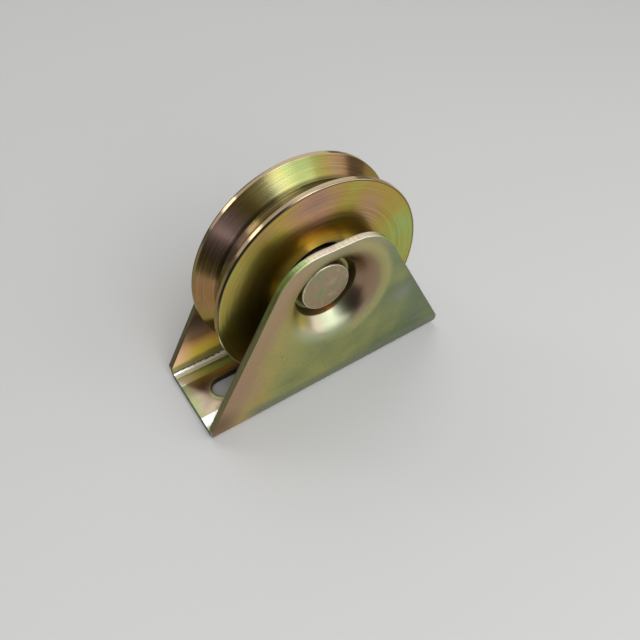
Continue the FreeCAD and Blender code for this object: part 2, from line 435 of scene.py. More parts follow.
def add_base(skins):
    """Base with its slots; the underside's ends have a point more at each crease."""
    slots = [slot_sections(centre) for centre in (-SLOT_CENTRE, SLOT_CENTRE)]
    for sections, _ in slots:
        skins["sheared"].append(grid(sections, close_rows=True))
    for skin, height, half_width, row in (("outside", 0, BEND_Y, 0), ("inside", SHEET, CREASE, -1)):
        rectangle = [(x, -half_width) for x in COLUMN_PLACES]
        if half_width > CREASE:
            rectangle += [(COLUMN_PLACES[-1], -CREASE), (COLUMN_PLACES[-1], CREASE)]
        rectangle += [(x, half_width) for x in COLUMN_PLACES[::-1]]
        if half_width > CREASE:
            rectangle += [(COLUMN_PLACES[0], CREASE), (COLUMN_PLACES[0], -CREASE)]
        holes = []
        for sections, outwards in slots:
            rim = [section[row] for section in sections]
            margin = [point - outward * FLAT_MARGIN for point, outward in zip(rim, outwards)]
            skins[skin].append(grid([rim, margin], close_columns=True))
            holes.append([(point.x, point.y) for point in margin])
        skins[skin].append(plate(rectangle, holes, lambda p, z=height: (p.x, p.y, z)))


def bracket_patches():
    """Patches of the sheet's outside, its inside and its sheared edges."""
    skins = {"outside": [], "inside": [], "sheared": []}
    add_cheeks(skins)
    add_bends(skins)
    add_base(skins)
    return skins


def wheel_profile():
    corners = [
        (WHEEL_SHOULDER, WHEEL_HALF, TURNED_ROUND),
        (WHEEL, WHEEL_HALF, TURNED_ROUND),
        (WHEEL, GROOVE_MOUTH, GROOVE_LIP_ROUND),
        (GROOVE_ROOT, GROOVE_BOTTOM, TURNED_ROUND),
        (GROOVE_ROOT, -GROOVE_BOTTOM, TURNED_ROUND),
        (WHEEL, -GROOVE_MOUTH, GROOVE_LIP_ROUND),
        (WHEEL, -WHEEL_HALF, TURNED_ROUND),
        (WHEEL_BORE, -WHEEL_HALF, TURNED_ROUND),
        (WHEEL_BORE, -RING_OUTER_FACE, BORE_ROUND),
        (RING_SEAT, -RING_OUTER_FACE, BORE_ROUND),
        (RING_SEAT, -BEARING_HALF, BORE_ROUND),
        (WHEEL_BORE, -BEARING_HALF, BORE_ROUND),
        (WHEEL_BORE, BEARING_HALF, BORE_ROUND),
        (WHEEL_SHOULDER, BEARING_HALF, BORE_ROUND),
    ]
    return rounded_path(corners, closed=True)


def axle_profile():
    """Pin from the head in the front cheek to the upset end in the rear one."""
    corners = [
        (0, -HEAD_FACE, 0),
        (HEAD - HEAD_CHAMFER_ACROSS, -HEAD_FACE, HEAD_FACE_ROUND),
        (HEAD, -HEAD_FACE + HEAD_CHAMFER_ALONG, HEAD_SIDE_ROUND),
        (HEAD_FOOT, -POCKET_FLOOR[1], HEAD_FOOT_ROUND),
        (AXLE, -POCKET_FLOOR[1], BORE_ROUND),
        (AXLE, POCKET_FLOOR[1], BORE_ROUND),
        (HEAD_FOOT, POCKET_FLOOR[1], HEAD_FOOT_ROUND),
        (HEAD, HEAD_FACE - UPSET_CHAMFER, UPSET_ROUND),
        (HEAD - UPSET_CHAMFER, HEAD_FACE, UPSET_ROUND),
        (0, HEAD_FACE, 0),
    ]
    return rounded_path(corners)


def bearing_ring_profile(seat, shoulder, side):
    """Ring from its seat to a round raceway between shoulders; side is -1 on the inner ring."""
    reach = BALL + BALL_CLEARANCE
    sweep = math.acos(abs(PITCH - shoulder) / reach)
    corners = [
        (shoulder, -BEARING_HALF, 0),
        (seat, -BEARING_HALF, RING_ROUND),
        (seat, BEARING_HALF, RING_ROUND),
        (shoulder, BEARING_HALF, 0),
    ]
    turns = [sweep * (1 - 2 * step / RACE_STEPS) for step in range(RACE_STEPS + 1)]
    race = [Vector((PITCH + side * reach * math.cos(turn), reach * math.sin(turn))) for turn in turns]
    return rounded_path(corners) + race


def seal_profile(side):
    """Moulded seal with a lip and a bead round its rim."""
    inner = INNER_SHOULDER + SEAL_CLEARANCE
    outer = OUTER_SHOULDER - SEAT_CLEARANCE
    face = BEARING_HALF - SEAL_RECESS
    web = face - SEAL_STEP
    back = face - SEAL_THICKNESS
    corners = [
        (inner, back + LIP_BACK_BEVEL),
        (inner, face - LIP_BEVEL),
        (inner + LIP_START, face),
        (inner + LIP_END, face),
        (inner + LIP_END + SEAL_STEP, web),
        (outer - BEAD_WIDTH - SEAL_STEP, web),
        (outer - BEAD_WIDTH, face),
        (outer, face),
        (outer, back),
        (inner + LIP_START, back),
    ]
    return rounded_path([(r, side * a, SEAL_ROUND) for r, a in corners], closed=True)


def ball_patch(number):
    """Ball half a step past its number round the bearing."""
    angle = 2 * math.pi * (number + 0.5) / BALL_COUNT
    centre = Matrix.Translation((PITCH * math.cos(angle), 0, AXLE_HEIGHT + PITCH * math.sin(angle)))
    shape = bmesh.new()
    bmesh.ops.create_icosphere(shape, subdivisions=BALL_SUBDIVISIONS, radius=BALL, matrix=centre)
    shape.verts.index_update()
    points = [vert.co.copy() for vert in shape.verts]
    faces = [[vert.index for vert in face.verts] for face in shape.faces]
    shape.free()
    return points, faces


class Shading:
    """A material's node tree, with short calls for the nodes that the finishes use, in millimetres."""

    def __init__(self, name):
        self.material = bpy.data.materials.new(name)
        self.material.use_nodes = True
        self.tree = self.material.node_tree
        self.shader = self.tree.nodes["Principled BSDF"]
        self.colour = None
        place = self.tree.nodes.new("ShaderNodeTexCoord")
        scaled = self.tree.nodes.new("ShaderNodeVectorMath")
        scaled.operation = "SCALE"
        scaled.inputs["Scale"].default_value = 1 / METRES
        self.tree.links.new(place.outputs["Object"], scaled.inputs[0])
        self.place = scaled.outputs[0]
        axes = self.tree.nodes.new("ShaderNodeSeparateXYZ")
        self.tree.links.new(self.place, axes.inputs[0])
        self.x, self.y, self.z = axes.outputs
        self.depth = self.math("ABSOLUTE", self.y)
        self.rise = self.math("SUBTRACT", self.z, AXLE_HEIGHT)
        self.radius = self.hypot(self.x, self.rise)

    def put(self, value, socket):
        """Link a socket, or set a constant."""
        if isinstance(value, bpy.types.NodeSocket):
            self.tree.links.new(value, socket)
        else:
            socket.default_value = value

    def math(self, operation, *values):
        node = self.tree.nodes.new("ShaderNodeMath")
        node.operation = operation
        for value, socket in zip(values, node.inputs):
            self.put(value, socket)
        return node.outputs[0]

    def total(self, *values):
        result = values[0]
        for value in values[1:]:
            result = self.math("ADD", result, value)
        return result

    def times(self, *values):
        result = values[0]
        for value in values[1:]:
            result = self.math("MULTIPLY", result, value)
        return result

    def hypot(self, first, second):
        """Length of a line that goes first along one axis and second along the other."""
        squares = self.total(self.math("POWER", first, 2), self.math("POWER", second, 2))
        return self.math("SQRT", squares)

    def span(self, value, low, high, to_low=0.0, to_high=1.0):
        """Smooth step of value from low to high."""
        node = self.tree.nodes.new("ShaderNodeMapRange")
        node.interpolation_type = "SMOOTHSTEP"
        node.inputs["From Min"].default_value = low
        node.inputs["From Max"].default_value = high
        node.inputs["To Min"].default_value = to_low
        node.inputs["To Max"].default_value = to_high
        self.put(value, node.inputs["Value"])
        return node.outputs[0]

    def between(self, share, first, second):
        """Number between two numbers."""
        return self.math("MULTIPLY_ADD", share, self.math("SUBTRACT", second, first), first)

    def vector(self, *axes):
        node = self.tree.nodes.new("ShaderNodeCombineXYZ")
        for value, socket in zip(axes, node.inputs):
            self.put(value, socket)
        return node.outputs[0]

    def noise(self, size, detail=2.0, stretch=(1, 1, 1), seed=0.0, place=None):
        """Noise from 0 to 1 with features of about that many millimetres."""
        moved = self.tree.nodes.new("ShaderNodeVectorMath")
        moved.operation = "MULTIPLY_ADD"
        self.put(place or self.place, moved.inputs[0])
        moved.inputs[1].default_value = [1 / (size * axis) for axis in stretch]
        moved.inputs[2].default_value = [seed * shift for shift in SEED_SHIFT]
        node = self.tree.nodes.new("ShaderNodeTexNoise")
        node.inputs["Scale"].default_value = 1
        node.inputs["Detail"].default_value = detail
        self.put(moved.outputs[0], node.inputs["Vector"])
        return node.outputs["Fac"]

    def drift(self, share, **settings):
        """Noise about zero, share high."""
        return self.math("MULTIPLY_ADD", self.noise(**settings), share, -share / 2)

    def turned_rings(self, size, seed=0.0):
        """Noise in rings round the axle, as a lathe tool leaves them."""
        slow_turn = self.times(self.math("ARCTAN2", self.rise, self.x), size)
        unrolled = self.vector(self.radius, self.y, slow_turn)
        return self.noise(size, detail=3.0, seed=seed, place=unrolled)

    def clouds(self, *places):
        """Soft round clouds seen along the axle, each (x, height above the axle, radius, strength)."""
        here = self.vector(self.x, 0.0, self.rise)
        result = 0.0
        for x, rise, size, strength in places:
            node = self.tree.nodes.new("ShaderNodeVectorMath")
            node.operation = "DISTANCE"
            self.put(here, node.inputs[0])
            node.inputs[1].default_value = (x, 0, rise)
            result = self.total(result, self.span(node.outputs["Value"], size, 0.0, 0.0, strength))
        return result

    def ramp(self, value, stops):
        """Colour along stops of (place, colour)."""
        node = self.tree.nodes.new("ShaderNodeValToRGB")
        points = node.color_ramp.elements
        while len(points) < len(stops):
            points.new(1)
        for point, (position, colour) in zip(points, stops):
            point.position = position
            point.color = (*colour, 1)
        self.put(value, node.inputs["Fac"])
        return node.outputs["Color"]

    def mix(self, share, first, second, blend="MIX"):
        """Colour between two colours, which are the node's inputs 6 and 7, at its output 2."""
        node = self.tree.nodes.new("ShaderNodeMix")
        node.data_type = "RGBA"
        node.blend_type = blend
        self.put(share, node.inputs[0])
        for value, socket in ((first, node.inputs[6]), (second, node.inputs[7])):
            self.put((*value, 1) if isinstance(value, tuple) else value, socket)
        return node.outputs[2]

    def paint(self, colour, *masks, blend="MIX"):
        """Lay a colour over those before it, as strongly as the masks' product."""
        self.colour = self.mix(self.times(*masks), self.colour, colour, blend)

    def bump(self, height, strength, depth):
        """Bump of a height from 0 to 1 that is depth millimetres high, on top of those before it."""
        node = self.tree.nodes.new("ShaderNodeBump")
        node.inputs["Strength"].default_value = strength
        node.inputs["Distance"].default_value = depth * METRES
        self.put(height, node.inputs["Height"])
        if self.shader.inputs["Normal"].is_linked:
            self.put(self.shader.inputs["Normal"].links[0].from_socket, node.inputs["Normal"])
        self.put(node.outputs["Normal"], self.shader.inputs["Normal"])

    def grain_round_axle(self):
        """Let gloss spread across the rings, a quarter turn from along them."""
        tangent = self.tree.nodes.new("ShaderNodeTangent")
        tangent.direction_type = "RADIAL"
        tangent.axis = "Y"
        self.put(tangent.outputs[0], self.shader.inputs["Tangent"])
        self.shader.inputs["Anisotropic Rotation"].default_value = 0.25

    def finish(self, roughness, metallic=1.0, **constants):
        self.put(self.colour, self.shader.inputs["Base Color"])
        self.put(roughness, self.shader.inputs["Roughness"])
        self.put(metallic, self.shader.inputs["Metallic"])
        for name, value in constants.items():
            self.shader.inputs[name.replace("_", " ").title()].default_value = value
        return self.material


def outside_finish():
    """Yellow zinc on rolled sheet, from rose through olive to blue-green along the bracket."""
    look = Shading("zinc_outside")
    film_per_mm = 0.0095
    film_at_middle = 0.47
    streaks = look.drift(0.5, size=5, detail=2.0, stretch=(6, 1, 1), seed=4.3)
    film = look.total(
        look.math("MULTIPLY_ADD", look.x, film_per_mm, film_at_middle),
        look.drift(0.55, size=22, detail=1.0, seed=3.1),
        look.drift(0.24, size=8, detail=2.0, seed=6.2),
        look.times(streaks, look.span(look.z, 22, 8)),
        look.clouds((-22, -30, 12, 0.2), (27, -4, 9, -0.2)),
    )
    look.colour = look.ramp(film, [
        (0.02, (0.58, 0.41, 0.27)),
        (0.22, (0.58, 0.48, 0.19)),
        (0.44, (0.44, 0.46, 0.19)),
        (0.68, (0.25, 0.31, 0.17)),
        (0.95, (0.16, 0.22, 0.18)),
    ])

    # Flat of the cheek: pale top, rosy left slope, dark corner, grey-green foot and a pale patch
    look.paint((0.52, 0.42, 0.29), look.span(look.z, 50, 66), 0.55)
    from_end = look.math("ADD", look.x, HALF_LENGTH + END_HEIGHT * SLOPE)
    from_slope = look.math("MULTIPLY_ADD", look.z, -SLOPE, from_end)
    look.paint((0.50, 0.33, 0.235), look.span(from_slope, 12, 5, 0.0, 0.75))
    look.paint((0.24, 0.17, 0.11), look.clouds((-49, -37, 11, 0.9)))
    look.paint((0.26, 0.31, 0.24), look.span(look.z, 9.5, 5.5), look.span(look.x, -42, -32, 0.0, 0.85))
    look.paint((0.40, 0.43, 0.36), look.clouds((30, -14, 8, 0.45)))

    # Dish: golden rim and rosy wall on the right, paler below as a painted highlight over the lamp's own,
    # a painted dark reflection, golden and pink clouds
    rim = look.times(look.span(look.radius, 17.5, 19.5), look.span(look.radius, 24.5, 21.5))
    look.paint((0.64, 0.56, 0.23), rim, look.span(look.x, 2, 10), 0.5)
    look.paint((0.37, 0.23, 0.16), look.span(look.radius, 22, 16), look.span(look.x, 2, 14), 0.9)
    # Paler film below the pocket, where the lamp's highlight falls: a painted highlight
    painted_highlight = look.times(look.span(look.radius, 21, 15), look.span(look.rise, -4, -13))
    look.paint((0.64, 0.67, 0.50), painted_highlight, look.span(look.x, 10, 4), 0.6)
    # Dark cloud to the lower right of the pocket: a painted dark reflection
    look.paint((0.12, 0.09, 0.07), look.span(look.radius, 18, 16), look.clouds((11, -11, 7, 0.75)))
    golden = look.clouds((-11.5, -9.5, 5.5, 0.7))
    look.paint((0.92, 0.72, 0.24), look.span(look.radius, 17, 15), golden)
    look.paint((0.88, 0.70, 0.50), look.span(look.radius, 18, 16), look.clouds((-6, -13.5, 6, 0.6)))

    # Pocket: brown wall darkened as painted shade in the recess, green floor that is paler above, orange
    # streak at the front one's mouth
    mouth = POCKET_MOUTH[0]
    floor = POCKET_FLOOR[1]
    # Brown wall, darkened as painted shade in the pocket
    pocket = look.times(look.span(look.radius, mouth + 0.25, mouth - 0.15), 0.85)
    look.paint((0.27, 0.22, 0.135), pocket)
    floor_colour = look.mix(look.span(look.rise, -3, 2), (0.17, 0.21, 0.10), (0.48, 0.50, 0.19))
    look.paint(floor_colour, pocket, look.span(look.depth, floor + 0.9, floor + 0.3))
    streak = look.span(look.radius, mouth + 0.15, mouth - 0.05)
    streak = look.times(streak, look.clouds((2.7, -12, 3.0, 0.8)))
    look.paint((0.85, 0.35, 0.16), streak, look.span(look.y, 0, -2))

    # Scuffs in patches, a cloudy gloss, fine grain and slight waves
    scuffs = look.span(look.noise(size=0.7, detail=2.0, stretch=(1, 1, 5), seed=6.6), 0.66, 0.74)
    patchy = look.span(look.noise(size=16, detail=1.0, seed=2.2), 0.52, 0.62)
    look.paint((0.2, 0.2, 0.13), scuffs, patchy, 0.5)
    cloudy = look.span(look.noise(size=9, detail=4.0, seed=5.0), 0.25, 0.75, 0.22, 0.34)
    cloudy = look.total(cloudy, look.span(look.radius, 24, 20, 0.0, 0.05))
    look.bump(look.noise(size=0.6, detail=3.0, seed=1.0), strength=0.5, depth=0.006)
    look.bump(look.noise(size=9, detail=1.0, seed=9.0), strength=0.6, depth=0.03)
    return look.finish(cloudy, specular_tint=ZINC_EDGE)


def inside_finish():
    """The same film on the sheet's inner side: golder, dark on the base with painted shade at its rear
    corners, bright on the strips as painted highlights, and a painted reflection low on the rear cheek.
    """
    look = Shading("zinc_inside")
    look.colour = look.ramp(look.noise(size=13, detail=2.0, seed=7.7), [
        (0.30, (0.95, 0.60, 0.24)),
        (0.45, (0.97, 0.73, 0.22)),
        (0.58, (0.90, 0.74, 0.26)),
        (0.72, (0.88, 0.56, 0.34)),
    ])

    # Rear cheek below the wheel: a painted reflection of the strip and base, gold above the bend, brown
    # higher up, rosy at the left end
    ramp_height = 40
    wavy_height = look.total(look.z, look.drift(4.0, size=9, detail=2.0, seed=4.1))
    # Bands by height that paint the reflection of the strip and base in the rear cheek
    low = look.ramp(look.times(wavy_height, 1 / ramp_height), [
        (0.10, (0.29, 0.22, 0.05)),
        (0.15, (0.38, 0.30, 0.06)),
        (0.19, (1.00, 0.75, 0.10)),
        (0.27, (1.00, 0.68, 0.11)),
        (0.34, (0.80, 0.46, 0.12)),
        (0.42, (0.36, 0.20, 0.09)),
        (0.62, (0.45, 0.30, 0.20)),
    ])
    rosy = look.times(look.span(look.x, -40, -48), look.span(look.z, 5, 7), 0.8)
    low = look.mix(rosy, low, (1.0, 0.62, 0.40))
    look.paint(low, look.span(look.z, 34, 26), look.span(look.y, -2, 2))

    # Front cheek, dull round its dish, and the backs of the dishes
    dull = look.times(look.span(look.y, 2, -2), look.span(look.radius, 17, 20))
    look.paint((0.34, 0.36, 0.32), dull, 0.8)
    look.paint((0.93, 0.85, 0.52), look.span(look.radius, 18.5, 16.5))

    # Base: mottled, pale in its middle, painted shade at its rear corners, green at its ends and round
    # the slots
    base = look.ramp(look.noise(size=7, detail=3.0, seed=1.7), [
        (0.32, (0.30, 0.23, 0.18)),
        (0.50, (0.38, 0.31, 0.21)),
        (0.66, (0.33, 0.37, 0.21)),
    ])
    length = look.math("ABSOLUTE", look.x)
    base = look.mix(look.span(length, 36, 26), base, (0.62, 0.48, 0.27))
    # Painted shade at the rear of the base's ends
    shaded = look.times(look.span(look.y, -2, 4), look.span(length, 36, 44), 0.65)
    base = look.mix(shaded, base, (0.10, 0.07, 0.05))
    green = look.span(look.total(length, look.drift(3.0, size=3, detail=2.0, seed=2.8)), 47.5, 50.5)
    base = look.mix(look.times(green, 0.6), base, (0.21, 0.26, 0.10))
    past_centre = look.math("ABSOLUTE", look.math("SUBTRACT", length, SLOT_CENTRE))
    past_straight = look.math("MAXIMUM", look.math("SUBTRACT", past_centre, SLOT_STRAIGHT_HALF), 0.0)
    from_slot = look.hypot(past_straight, look.y)
    slot_rim = look.span(from_slot, SLOT_HALF_WIDTH + 1.5, SLOT_HALF_WIDTH + 0.8)
    slot_rim = look.times(slot_rim, look.span(look.y, 2, -3, 0.3, 0.85))
    base = look.mix(slot_rim, base, (0.42, 0.68, 0.34))
    on_base = look.span(look.z, SHEET + 0.4, SHEET + 0.1)
    look.paint(base, on_base)

    # Coined strips: painted bright at the front as a highlight over the lamp's own, grey-green at the
    # rear, a ragged painted highlight by the rear bend
    below_bends = look.span(look.z, SHEET + 1.5, SHEET + 0.1)
    strip = look.times(look.span(look.depth, CREASE - 0.2, CREASE + 0.4), below_bends)
    # Pale film on the front strip: a painted highlight over the lamp's own
    front_strip_highlight = look.mix(look.span(look.y, -11.2, -13.2), (0.88, 0.86, 0.78), (0.27, 0.28, 0.17))
    rear_strip = look.mix(look.span(look.x, -44, -38), (0.47, 0.52, 0.42), (0.36, 0.49, 0.38))
    look.paint(look.mix(look.span(look.y, -1, 1), front_strip_highlight, rear_strip), strip)
    ragged_height = look.total(look.z, look.drift(1.6, size=1.4, detail=2.0, seed=3.4))
    # Ragged bright line by the rear bend: a painted highlight
    painted_highlight = look.times(look.span(look.y, 12.5, 12.8), look.span(ragged_height, 2.8, 2.6))
    look.paint((0.98, 0.97, 0.86), painted_highlight)

    # Ragged strips, grainy base and fine grain; hazy low down, where the rear cheek's reflection is
    # painted, on the painted highlight by the bend, on the dishes and on the front cheek
    ragged = look.times(look.noise(size=1.1, detail=3.0, seed=3.0), strip)
    grainy = look.times(look.noise(size=0.45, detail=2.0, seed=8.8), on_base)
    look.bump(ragged, strength=0.6, depth=0.05)
    look.bump(grainy, strength=0.6, depth=0.012)
    look.bump(look.noise(size=0.6, detail=3.0, seed=1.0), strength=0.5, depth=0.006)
    gloss = look.span(look.noise(size=6, detail=3.0, seed=5.0), 0.25, 0.75, 0.17, 0.26)
    gloss = look.math("MULTIPLY_ADD", below_bends, -0.05, gloss)
    haze_and_painted_light = look.math("MAXIMUM", look.span(look.radius, 20, 15, 0.0, 0.6), look.span(look.z, 30, 8))
    haze_and_painted_light = look.times(haze_and_painted_light, look.span(look.z, 2.7, 4.0))
    haze_and_painted_light = look.math("MAXIMUM", haze_and_painted_light, look.times(painted_highlight, 0.5))
    haze_and_painted_light = look.math("MAXIMUM", haze_and_painted_light, look.times(dull, 0.45))
    return look.finish(gloss, look.span(haze_and_painted_light, 0.0, 1.0, 0.92, 0.08), specular_tint=ZINC_EDGE)


def sheared_finish():
    """Sheared edges: fine lines across them, smooth by the outer skin and torn by the inner one."""
    look = Shading("zinc_sheared")
    look.colour = look.ramp(look.noise(size=8, detail=2.0, seed=4.4), [
        (0.32, (0.90, 0.88, 0.74)),
        (0.50, (0.96, 0.91, 0.82)),
        (0.66, (0.95, 0.84, 0.76)),
    ])

    # Green cloud at the top's left, green slopes that darken downwards, painted shade on the foot, dull
    # inner top
    look.paint((0.66, 0.95, 0.38), look.clouds((-14, 21.5, 8, 0.95)))
    low = look.span(look.z, 52, 40)
    slope_colour = look.mix(look.span(look.z, 62, 57), (0.30, 0.38, 0.11), (0.20, 0.23, 0.08))
    slope_colour = look.mix(low, slope_colour, (0.165, 0.155, 0.065))
    slope_colour = look.mix(look.span(look.y, -1, 1, 0.0, 0.7), slope_colour, (0.10, 0.07, 0.03))
    look.paint(slope_colour, look.span(look.z, CHEEK_TOP - 0.8, CHEEK_TOP - 4.3))
    # Dark foot of the slot walls and the base's ends: painted shade
    look.paint((0.05, 0.05, 0.04), look.span(look.z, SHEET, SHEET - 0.6, 0.0, 0.8))
    on_top = look.span(look.z, CHEEK_TOP - 1.0, CHEEK_TOP - 0.4, 0.0, 0.5)
    look.paint((0.58, 0.45, 0.34), look.span(look.depth, HALF_WIDTH - 1.5, HALF_WIDTH - 1.9), on_top)

    # Lines across the edge, and a torn half
    lines = look.noise(size=0.35, detail=3.0, stretch=(1, 7, 1), seed=2.0)
    look.paint((0.36, 0.32, 0.24), look.span(lines, 0.5, 0.64, 0.0, 0.35), blend="MULTIPLY")
    torn = look.span(look.depth, HALF_WIDTH - 1.0, HALF_WIDTH - 1.6)
    look.bump(lines, strength=0.8, depth=0.03)
    look.bump(look.times(look.noise(size=0.4, detail=3.0, seed=5.0), torn), strength=0.6, depth=0.04)
    metallic = look.between(low, look.span(look.z, CHEEK_TOP - 0.4, CHEEK_TOP - 3.8, 0.35, 0.5), 0.95)
    return look.finish(look.math("MULTIPLY_ADD", torn, 0.16, 0.2), metallic)


def wheel_finish():
    """Yellow zinc on turned steel: rings round the axle, rose and green clouds in gold."""
    look = Shading("wheel_zinc")
    rings = look.turned_rings(size=0.5, seed=1.3)
    broad_rings = look.turned_rings(size=2.4, seed=8.1)
    lines = look.turned_rings(size=0.24, seed=4.6)
    groove = look.span(look.depth, GROOVE_MOUTH + 0.2, GROOVE_MOUTH - 0.2)
    film_on_faces = look.clouds(
        (-3, 36, 17, -0.34),
        (17, 26, 12, -0.22),
        (38, 6, 22, 0.36),
        (-36, 2, 13, 0.12),
    )
    film_in_groove = look.clouds(
        (0, 38, 15, 0.32),
        (20, 33, 14, -0.3),
        (-29, 25, 12, -0.32),
        (-37, 4, 14, -0.24),
    )
    film = look.total(
        look.between(groove, film_on_faces, film_in_groove),
        look.drift(0.55, size=13, detail=3.0, seed=2.4),
        look.math("MULTIPLY_ADD", broad_rings, 0.16, 0.42),
    )
    look.colour = look.ramp(film, [
        (0.05, (0.42, 0.24, 0.20)),
        (0.25, (0.53, 0.31, 0.19)),
        (0.48, (0.53, 0.38, 0.09)),
        (0.68, (0.48, 0.49, 0.11)),
        (0.92, (0.36, 0.58, 0.22)),
    ])

    # Groove: darker than the faces, with a pale, a mauve and two brown clouds and painted shade on its
    # root
    look.paint((0.18, 0.13, 0.06), groove, 0.4)
    look.paint((0.72, 0.66, 0.38), groove, look.clouds((-10, 35, 8, 0.4)))
    look.paint((0.98, 0.64, 0.55), groove, look.clouds((-27, 25, 11, 1.0)))
    look.paint((0.34, 0.18, 0.065), groove, look.clouds((-37, 4, 12, 0.9), (20, 33, 10, 0.6)))
    # Dark root of the groove: painted shade
    painted_root_shade = look.span(look.radius, GROOVE_ROOT + 1.1, GROOVE_ROOT + 0.5, 0.0, 0.8)
    look.paint((0.11, 0.085, 0.03), groove, painted_root_shade)

    # Golden hub as a painted reflection, weaker on the left where that reflection is shaded, dark and
    # bright turned lines, and a painted dark reflection as a line inside the rim
    # Golden hub: a painted reflection of the dish behind it, weaker on the left
    painted_hub_reflection = look.span(look.radius, 22.5, 19.5)
    painted_hub_reflection = look.times(painted_hub_reflection, look.span(look.depth, WHEEL_HALF - 1.0, WHEEL_HALF - 0.4))
    look.paint((0.96, 0.84, 0.40), painted_hub_reflection, look.span(look.x, -19, -12, 0.1, 0.85))
    look.paint((0.12, 0.09, 0.05), look.span(lines, 0.53, 0.62, 0.0, 0.25))
    look.paint((0.70, 0.58, 0.30), look.span(lines, 0.44, 0.36, 0.0, 0.18))
    # Dark line inside the rim: a painted dark reflection in its chamfer
    rim = look.span(look.radius, WHEEL - 0.8, WHEEL - 0.55)
    rim = look.times(rim, look.span(look.depth, WHEEL_HALF - 0.3, WHEEL_HALF - 0.2))
    look.paint((0.06, 0.05, 0.03), rim, 0.75)

    # Lands, and the corners outside them: a painted glint low on the left, a painted dark reflection
    # above it
    land = look.span(look.radius, WHEEL - 0.4, WHEEL - 0.2)
    land = look.times(land, look.span(look.depth, GROOVE_MOUTH - 0.2, GROOVE_MOUTH))
    land_colour = look.mix(look.span(look.x, -29, -36), (0.47, 0.35, 0.22), (0.27, 0.21, 0.10))
    land_colour = look.mix(look.span(look.x, -20, 0), land_colour, (0.66, 0.53, 0.35))
    look.paint(land_colour, land)
    corner_start = WHEEL + WHEEL_HALF - 0.6
    corner = look.span(look.total(look.radius, look.depth), corner_start, corner_start + 0.15)
    # Pale corner low on the left: a painted glint
    painted_glint = look.times(look.span(look.x, 0, -12, 0.0, 0.95), look.span(look.rise, -1, -7))
    look.paint((1.0, 0.94, 0.72), corner, painted_glint)
    # Dark corner above it: a painted dark reflection
    painted_dark_reflection = look.times(corner, look.span(look.x, -6, -16, 0.0, 0.92), look.span(look.rise, 6, 14))
    look.paint((0.03, 0.025, 0.02), painted_dark_reflection)

    # Turned grain, and glossier lands
    look.bump(broad_rings, strength=1.0, depth=0.02)
    look.bump(rings, strength=1.0, depth=0.014)
    look.bump(lines, strength=1.0, depth=0.012)
    look.grain_round_axle()
    gloss = look.math("MULTIPLY_ADD", land, -0.1, look.span(rings, 0.3, 0.7, 0.18, 0.26))
    return look.finish(gloss, anisotropic=0.75, specular_tint=ZINC_EDGE)


def axle_finish():
    """Yellow zinc on a pressed pin, mottled where it was struck, with a painted highlight round the rim
    of its head.
    """
    look = Shading("axle_zinc")
    look.colour = look.ramp(look.noise(size=4.6, detail=5.0, seed=6.0), [
        (0.30, (0.33, 0.35, 0.16)),
        (0.46, (0.41, 0.36, 0.21)),
        (0.58, (0.43, 0.31, 0.21)),
        (0.72, (0.48, 0.44, 0.26)),
    ])
    # Bright rim on the head: a painted highlight
    rim = look.span(look.radius, HEAD - 0.42, HEAD - 0.32)
    rim = look.times(rim, look.span(look.depth, HEAD_FACE - 0.5, HEAD_FACE - 0.4))
    look.paint((0.92, 0.88, 0.78), rim, 0.85)
    scratches = look.span(look.noise(size=0.5, detail=2.0, stretch=(6, 1, 1), seed=3.3), 0.6, 0.75)
    look.bump(look.noise(size=1.1, detail=4.0, seed=2.0), strength=0.6, depth=0.02)
    look.bump(scratches, strength=0.5, depth=0.01)
    return look.finish(look.span(look.noise(size=1.8, detail=3.0), 0.25, 0.75, 0.24, 0.40))


def ground_steel():
    """Ground bearing steel, with fine rings round the axle."""
    look = Shading("ground_steel")
    rings = look.turned_rings(size=0.4, seed=5.5)
    cloud = look.noise(size=4, detail=2.0, seed=2.0)
    look.colour = look.mix(cloud, (0.56, 0.56, 0.58), (0.68, 0.67, 0.66))
    look.bump(rings, strength=0.6, depth=0.01)
    look.grain_round_axle()
    return look.finish(look.span(rings, 0.3, 0.7, 0.14, 0.22), anisotropic=0.5)


def ball_steel():
    """Lapped balls, with faint run marks."""
    look = Shading("ball_steel")
    marks = look.noise(size=0.5, detail=3.0, seed=7.0)
    look.colour = look.mix(marks, (0.66, 0.66, 0.68), (0.74, 0.73, 0.72))
    look.bump(marks, strength=0.2, depth=0.002)
    return look.finish(look.span(marks, 0.4, 0.8, 0.05, 0.12))


def spring_steel():
    """Dark phosphated spring steel, worn a little where it rubs."""
    look = Shading("spring_steel")
    grain = look.noise(size=0.4, detail=3.0, seed=3.0)
    worn = look.span(look.noise(size=2.0, detail=3.0, seed=4.0), 0.58, 0.72)
    look.colour = look.mix(worn, (0.09, 0.09, 0.10), (0.24, 0.23, 0.22))
    look.bump(grain, strength=0.6, depth=0.01)
    return look.finish(look.span(grain, 0.3, 0.7, 0.36, 0.5))


def seal_rubber():
    """Black moulded rubber, with a dusty bloom."""
    look = Shading("seal_rubber")
    bloom = look.span(look.noise(size=3.0, detail=4.0, seed=2.5), 0.45, 0.75)
    look.colour = look.mix(bloom, (0.014, 0.014, 0.015), (0.04, 0.038, 0.036))
    look.bump(look.noise(size=0.25, detail=2.0, seed=1.5), strength=0.5, depth=0.01)
    return look.finish(look.span(bloom, 0.0, 1.0, 0.42, 0.62), 0.0)


def cage_nylon():
    """Ivory nylon, cloudy and slightly uneven."""
    look = Shading("cage_nylon")
    cloud = look.noise(size=2.2, detail=3.0, seed=6.5)
    look.colour = look.mix(cloud, (0.62, 0.56, 0.43), (0.74, 0.69, 0.57))
    look.bump(look.noise(size=0.5, detail=2.0, seed=8.5), strength=0.5, depth=0.01)
    return look.finish(look.span(cloud, 0.3, 0.7, 0.36, 0.5), 0.0)


